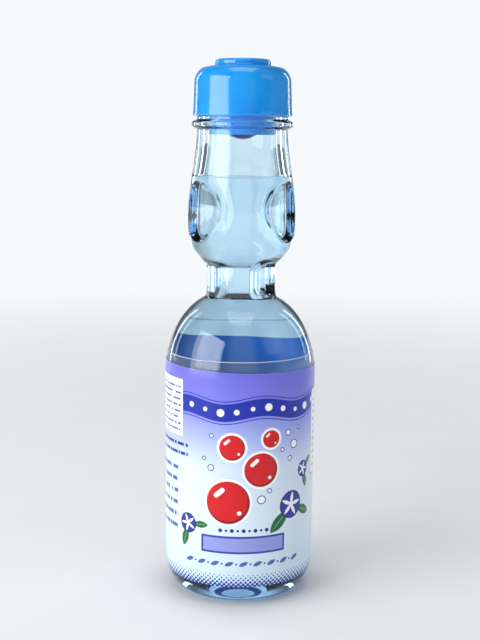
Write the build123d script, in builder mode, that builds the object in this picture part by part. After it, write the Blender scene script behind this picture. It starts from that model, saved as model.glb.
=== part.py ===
from build123d import *
from math import acos, asin, cos, degrees, radians, sin, sqrt, tan
import os

os.makedirs("parts", exist_ok=True)

# A marble-stopper bottle in millimetres. It stands on the origin with +Z up, and its front faces -Y.
# Heights are stacked from the lengths below, and an azimuth counts from the front towards +X.

# Glass: body, heel and foot
body_radius = 28.85
foot_radius = 21.0
foot_land = 1.6
punt_height = 4.0
heel_height = 14.0
body_height = 71.5
body_wall = 4.5
floor_height = 8.6
floor_corner = 9.0

# Glass: shoulder, waist and bulb
shoulder_rise = 30.5
shoulder_centre_share = 0.225
waist_radius = 13.45
waist_height = 12.4
waist_blend = 1.0
waist_wall = 4.4
bulb_radius = 20.4
bulb_lower_height = 19.5
bulb_upper_height = 31.6
bulb_flare_angle = 39.0
bulb_flare_share = 0.28
bulb_wall = 3.9

# Glass: neck, bead and finish
finish_radius = 15.0
finish_height = 7.1
finish_wall = 1.9
finish_rim_round = 0.7
neck_step = 2.1
bead_proud = 2.0
bead_height = 3.4
bead_round = 1.5
collar_step = 2.2
collar_height = 1.3
snap_ridge = 0.7
snap_ridge_height = 2.4
snap_ridge_seat = 2.1

# Two thumb dimples in the bulb and two opposite pinches in the waist, which carry the marble
dimple_radius = 13.9
dimple_reach = 13.9
dimple_azimuth = 57.5
dimple_rise = 1.5
dimple_wall = 3.4
dimple_rim_round = 0.8
pinch_radius = 11.1
pinch_reach = 7.9
pinch_azimuth = 64.5
pinch_end_gap = 0.8
pinch_overlap = 1.2
pinch_corner = 3.5
pinch_wall = 3.4

# Marble and its rubber seal
marble_radius = 8.5
gasket_bore_radius = 6.5
gasket_thickness = 2.6
gasket_seat_wall = 2.25
gasket_bevel = 0.5
gasket_fit = 0.05
marble_gap = 0.05

# Mouthpiece: a skirt snapped over the finish, a sleeve in the neck and a drinking lip
snap_fit = 0.1
mouth_skirt_wall = 0.8
mouth_hook = 0.7
mouth_hook_height = 1.3
mouth_flange_thickness = 1.8
sleeve_depth = 14.0
sleeve_fit = 0.35
marble_play = 0.5
sleeve_lead_in = 1.0
sleeve_tip_share = 0.718
lip_radius = 10.4
lip_bore_radius = 7.2
lip_height = 3.6
lip_round = 1.2
sleeve_rib_count = 6
sleeve_rib_width = 1.2
sleeve_rib_proud = 0.2

# Over-cap: a ring that hides the mouthpiece and holds the plunger until it is pushed out
cap_wall = 1.3
cap_fit = 0.25
cap_draft = 0.4
cap_foot_height = 1.5
cap_foot_proud = 0.15
cap_top_thickness = 1.9
cap_top_fall = 1.2
cap_blend_run = 1.5
cap_blend_fall = 0.7
cap_head_room = 10.0
cap_shoulder_drop = 5.3
cap_shoulder_share = 0.624
cap_collar_wall = 1.1
cap_collar_fit = 0.4
cap_rib_count = 12
cap_rib_width = 0.9
cap_nib_count = 4
cap_nib_width = 1.2
cap_nib_height = 0.6
seat_gap = 0.05

# Plunger: a thumb disc on a ribbed stem that passes through the seal
disc_radius = 10.4
disc_thickness = 1.9
disc_round = 1.1
spigot_radius = 8.2
spigot_fit = 0.4
stem_fit = 0.8
stem_rib_width = 1.5
stem_rib_count = 4
stem_core_radius = 2.4
stem_tip_chamfer = 0.6
stem_tip_gap = 0.6

# Label sleeve shrunk on to the body
label_thickness = 0.15
label_fit = 0.05
label_foot_height = 7.9
label_top_rise = 8.5

# Radii of the glass that follow from the finish
neck_bore_radius = finish_radius - finish_wall
neck_radius = finish_radius + neck_step
bead_radius = neck_radius + bead_proud
collar_radius = finish_radius + collar_step

# Heights of the glass
shoulder_start = heel_height + body_height
shoulder_centre = body_radius * shoulder_centre_share


def shoulder_angle(inset, end_radius):
    """Parameter angle at which the shoulder's ellipse, set in by the wall, reaches a radius."""
    return acos((end_radius - shoulder_centre) / (body_radius - inset - shoulder_centre))


waist_bottom = shoulder_start + shoulder_rise * sin(shoulder_angle(0, waist_radius))
waist_top = waist_bottom + waist_height
bulb_middle = waist_top + bulb_lower_height
bead_bottom = bulb_middle + bulb_upper_height
bead_top = bead_bottom + bead_height
collar_top = bead_top + collar_height
finish_top = collar_top + finish_height

# Heights of the mouth: the marble touches the seal's lower bore edge
flange_bottom = finish_top + snap_fit
flange_top = flange_bottom + mouth_flange_thickness
gasket_top = flange_bottom
gasket_bottom = gasket_top - gasket_thickness
marble_reach = marble_radius + marble_gap
marble_height = min(
    gasket_bottom + gasket_bevel - sqrt(marble_reach**2 - gasket_bore_radius**2),
    gasket_bottom - sqrt(marble_reach**2 - (gasket_bore_radius + gasket_bevel) ** 2),
)
lip_top = flange_top + lip_height
sleeve_bottom = finish_top - sleeve_depth
sleeve_radius = neck_bore_radius - sleeve_fit
sleeve_bore_radius = marble_radius + marble_play + sleeve_rib_proud
sleeve_tip_wall = (sleeve_radius - sleeve_bore_radius) * sleeve_tip_share
mouth_skirt_bore = finish_radius + snap_ridge + snap_fit
mouth_skirt_radius = mouth_skirt_bore + mouth_skirt_wall
hook_bottom = collar_top + snap_fit

# Heights of the over-cap and the plunger
cap_bore_radius = mouth_skirt_radius + cap_fit + cap_draft
cap_radius = cap_bore_radius + cap_wall
cap_shoulder_run = cap_radius - cap_draft - disc_radius - cap_blend_run
cap_shoulder_radius = cap_radius - cap_draft - cap_shoulder_run * cap_shoulder_share
cap_bottom = collar_top + seat_gap
cap_top = flange_top + cap_head_room
disc_bottom = cap_top + seat_gap
disc_top = disc_bottom + disc_thickness
stem_tip = marble_height + marble_radius + stem_tip_gap
stem_radius = gasket_bore_radius - stem_fit


def body_outline(body_inset, waist_inset, bulb_inset):
    """Draw one skin of the glass from the body's straight side up to the bulb's middle."""
    side = Line((body_radius - body_inset, heel_height), (body_radius - body_inset, shoulder_start))
    skin_radius = waist_radius - waist_inset
    shoulder = EllipticalCenterArc(
        (shoulder_centre, shoulder_start),
        body_radius - body_inset - shoulder_centre,
        shoulder_rise - body_inset,
        arc_size=degrees(shoulder_angle(body_inset, skin_radius)),
    )
    flare_slope = radians(bulb_flare_angle)
    flare_run = bulb_lower_height * bulb_flare_share
    flare_foot = (skin_radius, waist_top + waist_inset * tan(flare_slope / 2))
    flare_head = (skin_radius + flare_run * tan(flare_slope), flare_foot[1] + flare_run)
    bulb_side = (bulb_radius - bulb_inset, bulb_middle)
    Line(shoulder @ 1, flare_foot)
    flare = Line(flare_foot, flare_head)
    Spline(flare_head, bulb_side, tangents=(flare % 1, (0, 1)))
    return side, bulb_side


# Tools that press the dimples and the pinches, grown by the wall for the inner skin
def dimple_tool(grow):
    with BuildPart() as tool:
        Sphere(dimple_radius + grow)
    return tool.part


def pinch_tool(grow):
    with BuildPart() as tool:
        Cylinder(pinch_radius + grow, waist_height - pinch_end_gap + pinch_overlap + 2 * grow)
        fillet(tool.edges().filter_by(GeomType.CIRCLE), pinch_corner + grow)
    return tool.part


def polar_place(azimuth, distance, height):
    """Place at an azimuth from the front, a distance from the axis and a height."""
    return Location((distance * sin(radians(azimuth)), -distance * cos(radians(azimuth)), height))


dimple_places = [
    polar_place(side * dimple_azimuth, dimple_radius + dimple_reach, bulb_middle + dimple_rise)
    for side in (-1, 1)
]
pinch_middle = waist_bottom + (waist_height + pinch_end_gap + pinch_overlap) / 2
pinch_places = [
    polar_place(pinch_azimuth + turn, pinch_radius + pinch_reach, pinch_middle)
    for turn in (0, 180)
]

# Cavity of the glass: the space for the drink, the marble's chamber and the neck's bore
with BuildPart() as cavity:
    with BuildSketch(Plane.XZ):
        with BuildLine():
            inner_radius = body_radius - body_wall
            corner_foot = (inner_radius - floor_corner, floor_height)
            corner_head = (inner_radius, floor_height + floor_corner)
            Line((0, floor_height), corner_foot)
            RadiusArc(corner_foot, corner_head, -floor_corner)
            side, bulb_side = body_outline(body_wall, waist_wall, bulb_wall)
            Line(corner_head, side @ 0)
            bore_foot = (neck_bore_radius, bead_bottom - bead_height)
            Spline(bulb_side, bore_foot, tangents=((0, 1), (0, 1)))
            Line(bore_foot, (neck_bore_radius, finish_top))
            Line((neck_bore_radius, finish_top), (0, finish_top))
            Line((0, finish_top), (0, floor_height))
        make_face()
    revolve(axis=Axis.Z)
    with Locations(*dimple_places):
        add(dimple_tool(dimple_wall), mode=Mode.SUBTRACT)
    with Locations(*pinch_places):
        add(pinch_tool(pinch_wall), mode=Mode.SUBTRACT)

# Bottle: the outer skin with its dimples and pinches, less the cavity
with BuildPart() as bottle:
    with BuildSketch(Plane.XZ):
        with BuildLine():
            punt_edge = foot_radius - foot_land
            punt_radius = (punt_edge**2 + punt_height**2) / (2 * punt_height)
            RadiusArc((0, punt_height), (punt_edge, 0), -punt_radius)
            Line((punt_edge, 0), (foot_radius, 0))
            EllipticalCenterArc(
                (foot_radius, heel_height),
                body_radius - foot_radius,
                heel_height,
                start_angle=-90,
                arc_size=90,
            )
            side, bulb_side = body_outline(0, 0, 0)
            neck_end = (neck_radius, bead_bottom)
            Spline(bulb_side, neck_end, tangents=((0, 1), (0, 1)))
            bead_in = bead_radius - bead_round
            Line(neck_end, (bead_in, bead_bottom))
            ThreePointArc(
                (bead_in, bead_bottom),
                (bead_radius, bead_bottom + bead_height / 2),
                (bead_in, bead_top),
            )
            Line((bead_in, bead_top), (collar_radius, bead_top))
            Line((collar_radius, bead_top), (collar_radius, collar_top))
            Line((collar_radius, collar_top), (finish_radius, collar_top))
            ridge_foot = collar_top + snap_ridge_seat
            ridge_head = ridge_foot + snap_ridge_height
            Line((finish_radius, collar_top), (finish_radius, ridge_foot))
            ThreePointArc(
                (finish_radius, ridge_foot),
                (finish_radius + snap_ridge, (ridge_foot + ridge_head) / 2),
                (finish_radius, ridge_head),
            )
            Line((finish_radius, ridge_head), (finish_radius, finish_top))
            Line((finish_radius, finish_top), (0, finish_top))
            Line((0, finish_top), (0, punt_height))
        make_face()
    revolve(axis=Axis.Z)
    waist_edges = bottle.edges().filter_by(GeomType.CIRCLE).filter_by(
        lambda edge: waist_bottom - waist_blend < edge.center().Z < waist_top + waist_blend
    )
    fillet(waist_edges, waist_blend)
    with Locations(*pinch_places):
        add(pinch_tool(0), mode=Mode.SUBTRACT)
    with Locations(*dimple_places):
        add(dimple_tool(0), mode=Mode.SUBTRACT)
    fillet(bottle.edges(Select.LAST), dimple_rim_round)
    add(cavity.part, mode=Mode.SUBTRACT)
    rim_edges = bottle.edges().filter_by(GeomType.CIRCLE).group_by(Axis.Z)[-1]
    fillet(rim_edges, finish_rim_round)

# Marble: the glass ball, held up against the seal
with BuildPart() as marble:
    with Locations((0, 0, marble_height)):
        Sphere(marble_radius)

# Gasket: the rubber ring that the marble closes
with BuildPart() as gasket:
    with BuildSketch(Plane.XZ):
        gasket_outer = sleeve_radius - gasket_seat_wall
        with BuildLine():
            Polyline(
                (gasket_bore_radius, gasket_bottom + gasket_bevel),
                (gasket_bore_radius + gasket_bevel, gasket_bottom),
                (gasket_outer - gasket_fit, gasket_bottom),
                (gasket_outer - gasket_fit, gasket_top - gasket_fit),
                (gasket_bore_radius, gasket_top - gasket_fit),
                close=True,
            )
        make_face()
    revolve(axis=Axis.Z)

# Mouthpiece: one moulding with its snap hook, gasket groove, sleeve ribs and drinking lip
with BuildPart() as mouthpiece:
    with BuildSketch(Plane.XZ):
        groove_bottom = gasket_bottom - gasket_fit
        with BuildLine():
            Polyline(
                (lip_bore_radius, lip_top),
                (lip_radius, lip_top),
                (lip_radius, flange_top),
                (mouth_skirt_radius, flange_top),
                (mouth_skirt_radius, hook_bottom),
                (mouth_skirt_bore - mouth_hook, hook_bottom),
                (mouth_skirt_bore - mouth_hook, hook_bottom + mouth_hook_height),
                (mouth_skirt_bore, hook_bottom + mouth_hook_height + mouth_hook),
                (mouth_skirt_bore, flange_bottom),
                (sleeve_radius, flange_bottom),
                (sleeve_radius, sleeve_bottom),
                (sleeve_radius - sleeve_tip_wall, sleeve_bottom),
                (sleeve_bore_radius, sleeve_bottom + sleeve_lead_in),
                (sleeve_bore_radius, groove_bottom),
                (gasket_outer, groove_bottom),
                (gasket_outer, gasket_top),
                (lip_bore_radius, gasket_top),
                close=True,
            )
        make_face()
    revolve(axis=Axis.Z)
    lip_edges = mouthpiece.edges().filter_by(GeomType.CIRCLE).group_by(Axis.Z)[-1]
    fillet(lip_edges, lip_round)
    rib_foot = sleeve_bottom + sleeve_lead_in
    with BuildSketch(Plane.XY.offset(rib_foot)):
        with PolarLocations(sleeve_bore_radius, sleeve_rib_count):
            Rectangle(2 * sleeve_rib_proud, sleeve_rib_width)
    extrude(amount=groove_bottom - rib_foot)

# Over-cap: the outer shell, an inner collar that bears on the mouthpiece, ribs and nibs
with BuildPart() as opener_ring:
    hole_radius = spigot_radius + spigot_fit
    shoulder_foot = cap_top - cap_top_fall - cap_shoulder_drop
    shoulder_head = (cap_shoulder_radius, cap_top - cap_top_fall)
    with BuildSketch(Plane.XZ):
        with BuildLine():
            EllipticalCenterArc(
                (disc_radius + cap_blend_run, cap_top),
                cap_blend_run,
                cap_blend_fall,
                start_angle=180,
                arc_size=90,
            )
            top_edge = Line((disc_radius + cap_blend_run, cap_top - cap_blend_fall), shoulder_head)
            cap_side = (cap_radius - cap_draft, shoulder_foot)
            Spline(shoulder_head, cap_side, tangents=(top_edge % 1, (0, -1)))
            Line(cap_side, (cap_radius, cap_bottom + cap_foot_height))
            Line((cap_radius, cap_bottom + cap_foot_height), (cap_radius + cap_foot_proud, cap_bottom))
            Line((cap_radius + cap_foot_proud, cap_bottom), (0, cap_bottom))
            Line((0, cap_bottom), (0, cap_top))
            Line((0, cap_top), (disc_radius, cap_top))
        make_face()
    revolve(axis=Axis.Z)
    roof = cap_top - cap_top_thickness
    with BuildSketch(Plane.XZ):
        with BuildLine():
            roof_edge = (cap_shoulder_radius - cap_wall, roof - cap_top_fall)
            eave = (cap_bore_radius - cap_draft, shoulder_foot - cap_wall)
            Line((0, cap_bottom), (cap_bore_radius, cap_bottom))
            Line((cap_bore_radius, cap_bottom), eave)
            Spline(eave, roof_edge, tangents=((0, 1), (-1, 0)))
            Line(roof_edge, (disc_radius, roof))
            Line((disc_radius, roof), (0, roof))
            Line((0, roof), (0, cap_bottom))
        make_face()
    revolve(axis=Axis.Z, mode=Mode.SUBTRACT)
    collar_bore = lip_radius + cap_collar_fit
    collar_outer = collar_bore + cap_collar_wall
    collar_foot = flange_top + seat_gap
    with BuildSketch(Plane.XY.offset(collar_foot)):
        Circle(collar_outer)
        Circle(collar_bore, mode=Mode.SUBTRACT)
    extrude(amount=roof - collar_foot)
    rib_run = cap_bore_radius - cap_draft - collar_outer
    with BuildSketch(Plane.XY.offset(shoulder_foot - cap_wall)):
        with PolarLocations(collar_outer + rib_run / 2, cap_rib_count):
            Rectangle(rib_run + cap_wall, cap_rib_width)
    extrude(until=Until.NEXT)
    with BuildSketch(Plane.XY.offset(cap_top)):
        Circle(hole_radius)
    extrude(amount=-2 * cap_top_thickness, mode=Mode.SUBTRACT)
    with BuildSketch(Plane.XY.offset(roof)):
        with PolarLocations(hole_radius - spigot_fit / 2 + seat_gap, cap_nib_count):
            Rectangle(spigot_fit, cap_nib_width)
    extrude(amount=cap_nib_height)

# Plunger: the dished thumb disc, its spigot in the ring and the ribbed stem
with BuildPart() as plunger:
    with BuildSketch(Plane.XY.offset(disc_bottom)):
        Circle(disc_radius)
    extrude(amount=disc_thickness)
    fillet(plunger.edges().group_by(Axis.Z)[-1], disc_round)
    spigot_bottom = roof - seat_gap
    with BuildSketch(Plane.XY.offset(spigot_bottom)):
        Circle(spigot_radius)
    extrude(amount=disc_bottom - spigot_bottom)
    with BuildSketch(Plane.XY.offset(stem_tip)):
        Circle(stem_core_radius)
        with PolarLocations(0, stem_rib_count // 2):
            Rectangle(2 * stem_radius, stem_rib_width)
    extrude(amount=spigot_bottom - stem_tip)
    chamfer(plunger.edges().group_by(Axis.Z)[0], stem_tip_chamfer)

# Label: a film sleeve that follows the glass from the heel to the shoulder
with BuildPart() as label:
    with BuildSketch(Plane.XZ):
        film_in = body_radius + label_fit
        film_out = film_in + label_thickness
        heel_turn = asin((heel_height - label_foot_height) / heel_height)
        shoulder_turn = asin(label_top_rise / shoulder_rise)
        edges_in = []
        with BuildLine():
            for film_radius in (film_in, film_out):
                heel_curve = EllipticalCenterArc(
                    (foot_radius, heel_height),
                    film_radius - foot_radius,
                    heel_height,
                    start_angle=-degrees(heel_turn),
                    arc_size=degrees(heel_turn),
                )
                shoulder_curve = EllipticalCenterArc(
                    (shoulder_centre, shoulder_start),
                    film_radius - shoulder_centre,
                    shoulder_rise,
                    start_angle=0,
                    arc_size=degrees(shoulder_turn),
                )
                Line(heel_curve @ 1, shoulder_curve @ 0)
                edges_in.append((heel_curve @ 0, shoulder_curve @ 1))
            Line(edges_in[0][0], edges_in[1][0])
            Line(edges_in[0][1], edges_in[1][1])
        make_face()
    revolve(axis=Axis.Z)

pieces = {
    "bottle": bottle,
    "marble": marble,
    "gasket": gasket,
    "mouthpiece": mouthpiece,
    "opener_ring": opener_ring,
    "plunger": plunger,
    "label": label,
}
for name, piece in pieces.items():
    piece.part.label = name
    export_step(piece.part, f"parts/{name}.step")

drink_volume = cavity.part.split(Plane.XY.offset(bulb_middle + dimple_radius), keep=Keep.BOTTOM).volume
print("drink space below the fill line, mL:", round(drink_volume / 10**3, 1))
print("overall height:", round(disc_top, 2), "marble centre:", round(marble_height, 2))
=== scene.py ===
from math import acos, cos, pi, radians, sin, tan

import bmesh
import bpy
import numpy as np
from mathutils import Matrix, Vector


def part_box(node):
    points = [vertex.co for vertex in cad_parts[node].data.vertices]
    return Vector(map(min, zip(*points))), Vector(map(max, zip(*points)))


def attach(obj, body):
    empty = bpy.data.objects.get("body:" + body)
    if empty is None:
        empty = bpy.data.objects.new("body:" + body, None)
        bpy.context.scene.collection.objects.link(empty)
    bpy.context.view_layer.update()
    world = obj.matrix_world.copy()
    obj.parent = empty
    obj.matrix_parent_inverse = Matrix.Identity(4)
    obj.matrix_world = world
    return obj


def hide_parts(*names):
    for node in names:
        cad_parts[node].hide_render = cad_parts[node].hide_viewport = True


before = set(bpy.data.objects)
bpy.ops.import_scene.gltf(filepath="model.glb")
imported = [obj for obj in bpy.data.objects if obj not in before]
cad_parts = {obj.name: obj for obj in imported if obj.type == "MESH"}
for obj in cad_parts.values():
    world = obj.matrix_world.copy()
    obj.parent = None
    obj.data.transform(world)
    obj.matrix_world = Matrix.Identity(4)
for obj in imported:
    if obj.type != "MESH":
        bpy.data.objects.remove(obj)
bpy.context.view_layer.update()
print("frame loaded:", len(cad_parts), "nodes")

mm = 0.001                   # sizes below are in millimetres, meshes are in metres


def srgb(red, green, blue):
    # a colour as the eye names it, 0 to 255, made linear
    parts = [c / 255 for c in (red, green, blue)]
    return tuple(((c + 0.055) / 1.055) ** 2.4 if c > 0.04 else c / 12.92 for c in parts) + (1,)


# The camera stands a little left of the bottle's front and looks slightly down at it
camera = {
    "distance": 439.2,       # from the bottle's axis, level
    "height": 175.5,
    "turn": -2.5,            # degrees round the bottle from its front
    "pitch": -9.1,
    "roll": 0.54,
    "lens": 64.7,
    "slide": -0.25,          # mm to the camera's right
    "sensor": 36.0, "clipFrom": 0.01, "clipTo": 20.0,
}

# Glass: one moulding, from the foot to the finish
glass = {
    "bodyRadius": 28.85, "footRadius": 21.0, "footLand": 1.6, "puntHeight": 4.0,
    "heelHeight": 14.0, "bodyHeight": 71.5, "bodyWall": 4.5, "floorHeight": 8.6, "floorCorner": 9.0,
    "shoulderRise": 30.5, "shoulderCentreShare": 0.225,
    "waistRadius": 13.45, "waistHeight": 12.4, "waistWall": 4.4, "waistBlend": 1.6,
    "bulbRadius": 20.4, "bulbLower": 19.5, "bulbUpper": 31.6, "flareAngle": 39.0, "flareShare": 0.28,
    "bulbWall": 3.9, "neckRadius": 17.1, "boreRadius": 13.1,
    "beadRadius": 19.1, "beadHeight": 3.4, "beadRound": 1.5,
    "collarRadius": 17.2, "collarHeight": 1.3, "finishRadius": 15.0, "finishHeight": 7.1,
    "ridge": 0.7, "ridgeHeight": 2.4, "ridgeSeat": 2.1, "rimRound": 0.7,
    "dimpleRadius": 13.9, "dimpleReach": 13.9, "dimpleAzimuth": 57.5, "dimpleRise": 1.5,
    "pinchRadius": 11.1, "pinchReach": 7.9, "pinchAzimuth": 64.5, "pinchOverlap": 1.2, "pinchEndGap": 0.8,
    "pinchCorner": 3.5, "pinchWall": 3.4,
    "outerEdge": 0.9, "innerPinchEdge": 3.0, "bulge": 6.0, "bulgeReach": 13.4,
    "landStart": 0.4, "straightInset": 6.0, "stepBelow": 0.5, "beadShoulder": 0.9,
    "finishRounds": [0.35, 0.5, 0.75, 0.75, 0.5, 0.15, 0.5, 0.3, 0.4, 0.5, 0.4],
    "fineBelow": 2.5, "fineAbove": 4.0, "neckRise": 16.0,    # the waist's and the bulb's closer rows end here
    "turns": 208,            # columns round the axis
    "look": {
        "index": 1.52, "tints": (srgb(246, 253, 255), srgb(238, 250, 254)), "wave": (38.0, 1.5), "bump": 0.11,
        "hazeNoise": (900.0, 2.0), "hazeRange": (0.35, 0.75), "haze": 0.018,
        "depthTint": srgb(84, 196, 244), "depth": 23.0, "shadow": srgb(244, 251, 253),
    },
}

shoulderStart = glass["heelHeight"] + glass["bodyHeight"]
shoulderCentre = glass["bodyRadius"] * glass["shoulderCentreShare"]
shoulderTurn = acos((glass["waistRadius"] - shoulderCentre) / (glass["bodyRadius"] - shoulderCentre))
waistBottom = shoulderStart + glass["shoulderRise"] * sin(shoulderTurn)
waistTop = waistBottom + glass["waistHeight"]
bulbMiddle = waistTop + glass["bulbLower"]
beadBottom = bulbMiddle + glass["bulbUpper"]
beadTop = beadBottom + glass["beadHeight"]
collarTop = beadTop + glass["collarHeight"]
finishTop = collarTop + glass["finishHeight"]


def ellipsePoints(centre, wide, high, start, end, count):
    # points (r, z) on an ellipse between two parameter angles in degrees
    t = np.radians(np.linspace(start, end, count))
    return np.stack([centre[0] + wide * np.cos(t), centre[1] + high * np.sin(t)], 1)


def straightPoints(start, end, count):
    # evenly spaced points on a straight line, ends included
    t = np.linspace(0, 1, count)[:, None]
    return (1 - t) * np.array(start, float) + t * np.array(end, float)


def easePoints(start, end, startWay, endWay, count):
    # a cubic curve between two points, both tangents as long as the chord
    t = np.linspace(0, 1, count)[:, None]
    a, b = np.array(start, float), np.array(end, float)
    chord = np.linalg.norm(b - a)
    u = chord * np.array(startWay, float) / np.linalg.norm(startWay)
    v = chord * np.array(endWay, float) / np.linalg.norm(endWay)
    return ((2 * t**3 - 3 * t**2 + 1) * a + (t**3 - 2 * t**2 + t) * u
            + (3 * t**2 - 2 * t**3) * b + (t**3 - t**2) * v)


def rowsAt(heights, curve):
    # rows (r, z) of a curve at the given heights
    return np.stack([np.interp(heights, curve[:, 1], curve[:, 0]), heights], 1)


def roundedPoints(points, radii, steps=5):
    # a polyline whose corners are replaced by arcs of the given radii
    points, out = np.array(points, float), []
    for i, (p, radius) in enumerate(zip(points, radii)):
        if radius == 0 or i in (0, len(points) - 1):
            out.append(p[None])
            continue
        a, b = points[i - 1] - p, points[i + 1] - p
        a, b = a / np.linalg.norm(a), b / np.linalg.norm(b)
        half = acos(np.clip(a @ b, -1, 1)) / 2
        middle = p + (a + b) / np.linalg.norm(a + b) * radius / sin(half)
        first, last = p + a * radius / tan(half), p + b * radius / tan(half)
        w = np.linspace(0, 1, steps + 1)[:, None]
        way = (1 - w) * (first - middle) + w * (last - middle)
        out.append(middle + way / np.linalg.norm(way, axis=1)[:, None] * radius)
    return np.concatenate(out)


def smoothMin(a, b, blend):
    # the lesser of two values, rounded where they cross within the blend
    h = np.clip(1 - np.abs(a - b) / blend, 0, 1)
    return np.minimum(a, b) - h * h * blend / 4


def gridQuads(rows, cols):
    # the quads of a grid whose columns are joined round
    r, c = np.meshgrid(np.arange(rows - 1), np.arange(cols), indexing="ij")
    n = (c + 1) % cols
    return np.stack([r * cols + c, r * cols + n, (r + 1) * cols + n, (r + 1) * cols + c], 2).reshape(-1, 4)


def mend(mesh, held=None):
    # merge doubled points and turn the faces outwards; a held mesh is joined on as it is and takes the result
    work = bmesh.new()
    work.from_mesh(mesh)
    bmesh.ops.remove_doubles(work, verts=work.verts, dist=mm * 1e-4)
    bmesh.ops.recalc_face_normals(work, faces=work.faces)
    if held:
        work.from_mesh(held)
    work.to_mesh(held or mesh)
    work.free()


def addObject(name, data):
    piece = bpy.data.objects.new(name, data)
    bpy.context.scene.collection.objects.link(piece)
    return piece


def gridMesh(name, x, y, z):
    # quads over a grid of points in mm, its columns joined round the axis; poles and normals are mended
    mesh = bpy.data.meshes.new(name)
    points = np.stack([x, y, z], 2).reshape(-1, 3) * mm
    quads = gridQuads(*x.shape)
    mesh.vertices.add(len(points))
    mesh.vertices.foreach_set("co", points.astype(np.float32).ravel())
    mesh.loops.add(quads.size)
    mesh.loops.foreach_set("vertex_index", quads.astype(np.int32).ravel())
    mesh.polygons.add(len(quads))
    mesh.polygons.foreach_set("loop_start", np.arange(0, quads.size, 4, dtype=np.int32))
    mesh.update(calc_edges=True)
    mend(mesh)
    mesh.polygons.foreach_set("use_smooth", np.ones(len(mesh.polygons), bool))
    return addObject(name, mesh)


def roundMesh(name, radius, angle, z):
    # (x, y, z) = (r sin t, -r cos t, z), so that the angle 0 is the front
    return gridMesh(name, radius * np.sin(angle), -radius * np.cos(angle), z + 0 * angle)


def lathe(name, profile, turns=192, loop=True):
    # a profile of (r, z) turned round the axis; a loop's last row meets its first
    if loop:
        profile = np.concatenate([profile, profile[:1]])
    angle = np.linspace(0, 2 * pi, turns, endpoint=False)
    return roundMesh(name, profile[:, :1], angle, profile[:, 1:])


def addForms(piece, points, faces):
    # join closed flat-faced forms to a piece
    forms = bpy.data.meshes.new("forms")
    forms.from_pydata((points * mm).tolist(), [], faces)
    forms.polygons.foreach_set("use_smooth", np.zeros(len(forms.polygons), bool))
    mend(forms, piece.data)
    bpy.data.meshes.remove(forms)


def settle(piece, body, slot, material, *nodes):
    # give a finished piece its body and material, and hide the solids that it stands for
    piece.data.materials.clear()
    piece.data.materials.append(material)
    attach(piece, body)
    if nodes:
        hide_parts(*nodes)
    return piece


def nearestFace(turns, reach, squared):
    # where a level ray from the axis first meets one of two round forms: s = d cos t - sqrt(q - (d sin t)^2),
    # with d the way to the form's middle, t the turn from it and q its squared radius at the ray's height
    near = np.inf
    for turn in turns:
        inside = squared - (reach * np.sin(turn)) ** 2
        hit = (inside > 0) & (np.cos(turn) > 0)
        near = np.minimum(near, np.where(hit, reach * np.cos(turn) - np.sqrt(np.maximum(inside, 0)), np.inf))
    return near


def dimpleFace(z, azimuth, grow):
    # the dimples' two balls
    g = glass
    height = z - bulbMiddle - g["dimpleRise"]
    turns = [azimuth - side * radians(g["dimpleAzimuth"]) for side in (-1, 1)]
    squared = (g["dimpleRadius"] + grow) ** 2 - height**2
    return nearestFace(turns, g["dimpleRadius"] + g["dimpleReach"], squared)


def pinchFace(z, azimuth, grow):
    # the pinches' two upright rollers, whose ends are rounded; grown by the wall for the inner skin
    g = glass
    middle = waistBottom + (g["waistHeight"] + g["pinchEndGap"] + g["pinchOverlap"]) / 2
    half = (g["waistHeight"] - g["pinchEndGap"] + g["pinchOverlap"]) / 2 + grow
    corner = g["pinchCorner"] + grow
    past = np.clip(np.abs(z - middle) - (half - corner), 0, None)
    roller = g["pinchRadius"] + grow - corner + np.sqrt(np.maximum(corner**2 - past**2, 0))
    roller = np.where(past < corner, roller, 0)
    turns = [azimuth - radians(g["pinchAzimuth"]) - side for side in (0, pi)]
    return nearestFace(turns, g["pinchRadius"] + g["pinchReach"], roller**2)


def skinRows(z, bodyInset, waistInset, bulbInset):
    # rows (r, z) of the skin from the body up to the bulb's middle: shoulder ellipse, waist and flaring bulb
    g = glass
    wide = g["bodyRadius"] - bodyInset - shoulderCentre
    high = g["shoulderRise"] - bodyInset
    rise = np.clip((z - shoulderStart) / high, 0, 1)
    shoulder = shoulderCentre + wide * np.sqrt(1 - rise**2)
    waist = g["waistRadius"] - waistInset
    slope = radians(g["flareAngle"])
    foot = waistTop + waistInset * tan(slope / 2)
    run = g["bulbLower"] * g["flareShare"]
    head = (waist + run * tan(slope), foot + run)
    bulbSide = (g["bulbRadius"] - bulbInset, bulbMiddle)
    curve = easePoints(head, bulbSide, (sin(slope), cos(slope)), (0, 1), 60)
    curve = np.concatenate([[(waist - 1, foot - 1 / tan(slope))], curve])
    bulb = np.interp(z, curve[:, 1], curve[:, 0])
    neck = np.maximum(waist, bulb)
    radius = np.maximum(neck, shoulder) if bodyInset else -smoothMin(-neck, -shoulder, g["waistBlend"])
    return np.stack([radius, z], 1)


def dimpleBulge(z, azimuth):
    # how far the inner skin swells inwards behind a dimple: a (1 - (p/q)^2)^2, with p the way along the skin
    g = glass
    inner = g["bulbRadius"] - g["bulbWall"]
    height = z - bulbMiddle - g["dimpleRise"]
    swell = 0
    for side in (-1, 1):
        turn = np.remainder(azimuth - side * radians(g["dimpleAzimuth"]) + pi, 2 * pi) - pi
        away = ((inner * turn) ** 2 + height**2) / g["bulgeReach"] ** 2
        swell = swell + g["bulge"] * np.clip(1 - away, 0, None) ** 2
    return swell


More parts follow.
